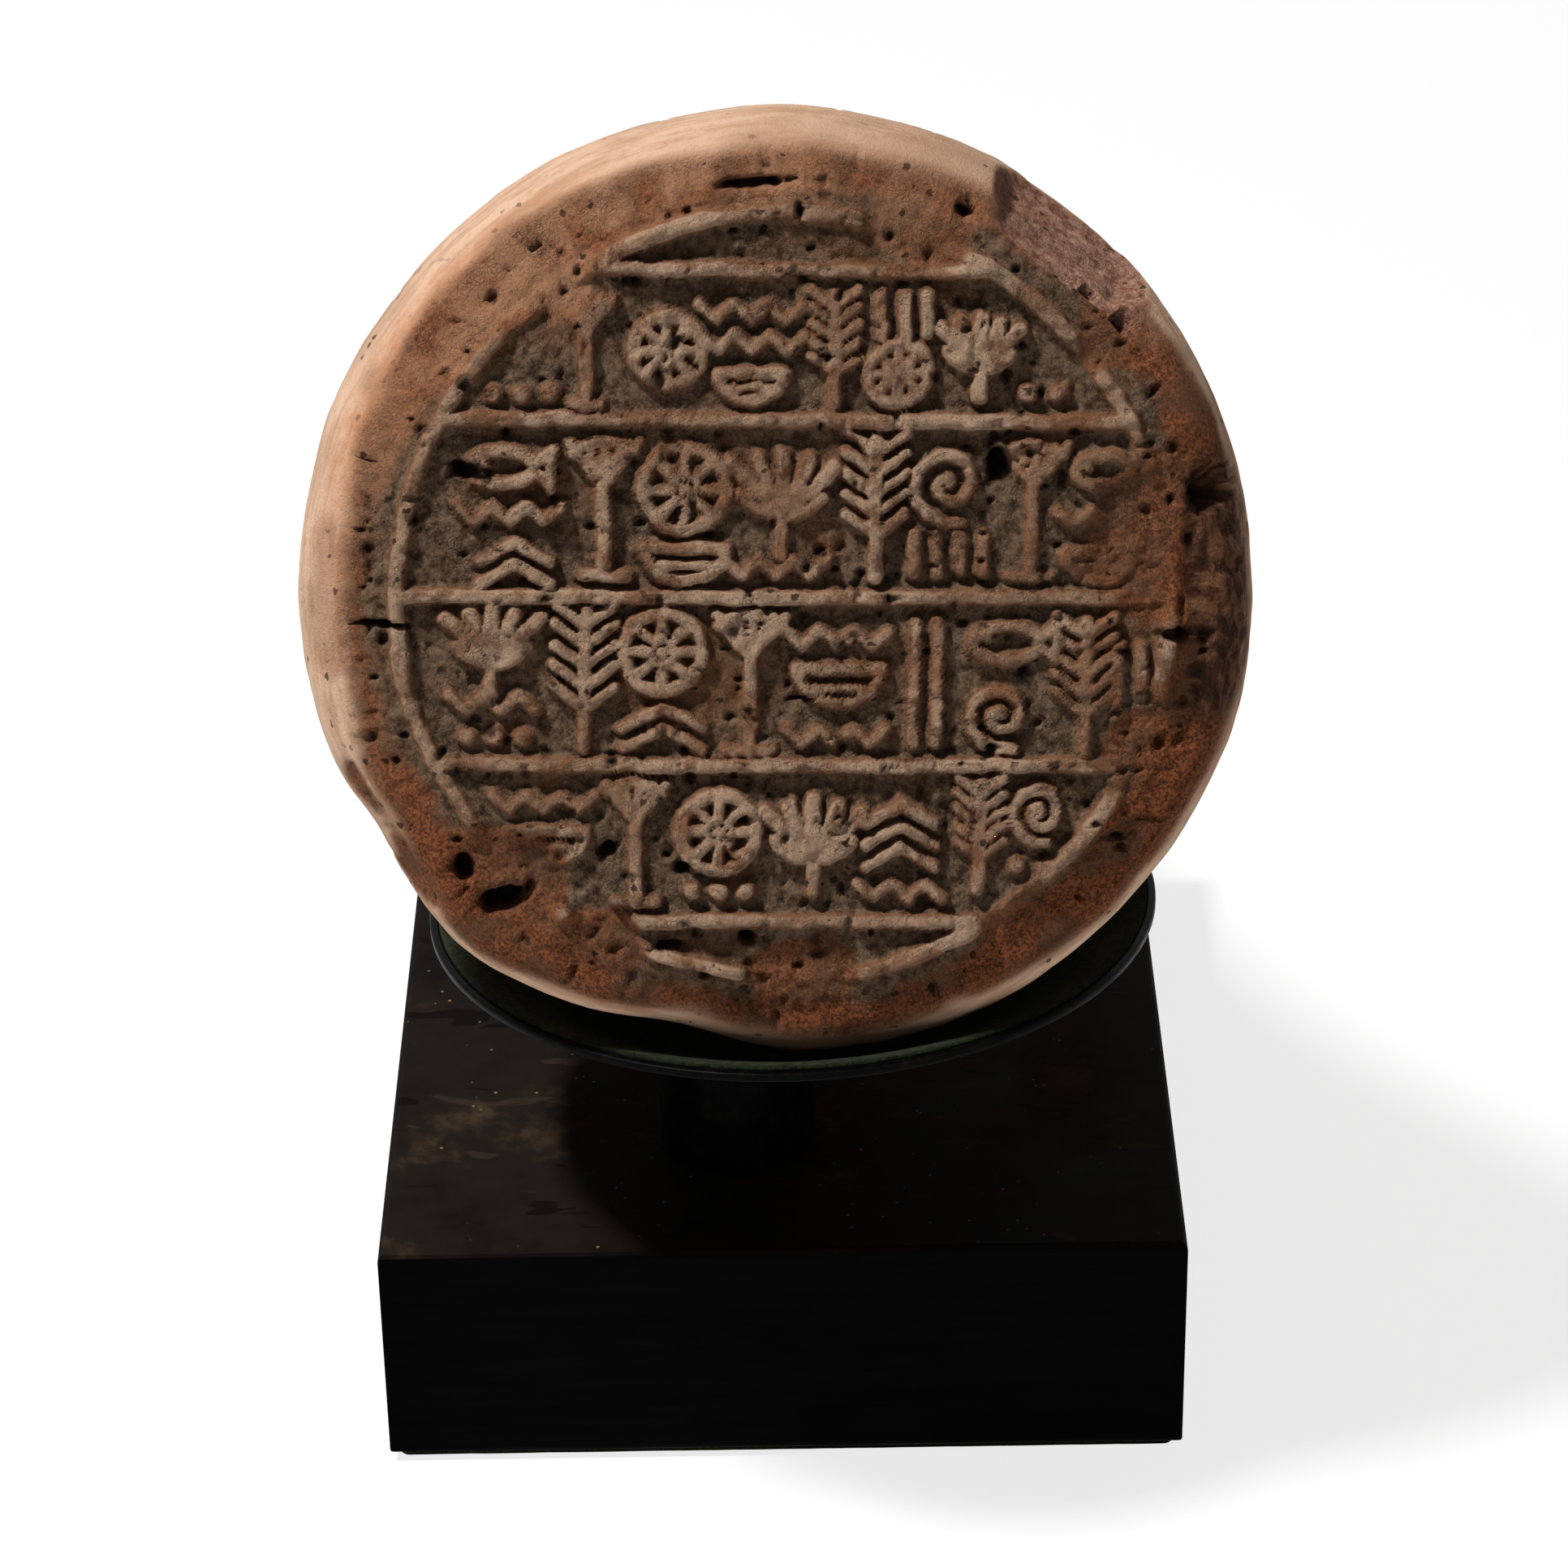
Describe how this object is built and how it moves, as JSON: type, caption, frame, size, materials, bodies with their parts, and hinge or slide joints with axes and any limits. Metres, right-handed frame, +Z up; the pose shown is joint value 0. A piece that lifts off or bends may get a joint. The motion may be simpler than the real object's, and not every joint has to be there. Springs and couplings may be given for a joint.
{
  "type": "funerary cone on display stand",
  "caption": "Fired-clay funerary cone with a stamped round face, lying loose in a felt-lined dish on a post and rectangular plinth.",
  "frame": {"origin": "middle of the underside of the base felt, on the surface the stand rests on", "axes": "+Z up, the stamped face looks along -Y, +X to the viewer's right"},
  "size_m": [0.0846, 0.1532, 0.1297],
  "materials": {
    "fired_clay": "unglazed, worn slip",
    "black_lacquer": "satin black",
    "ebonised_wood": "satin, worn",
    "felt": "matt wool felt",
    "steel": "zinc plated"
  },
  "bodies": {
    "stand": {"base_felt": "felt", "plinth": "ebonised_wood", "post": "black_lacquer", "post_washer": "steel", "post_screw": "steel", "dish": "black_lacquer", "dish_screw": "steel", "dish_lining": "felt"},
    "cone": {"cone": "fired_clay"}
  },
  "joints": [
    {"name": "cone_lift", "type": "slide", "parent": "stand", "child": "cone", "axis": [0, 0, 1], "range_m": [0, 0.08]}
  ]
}
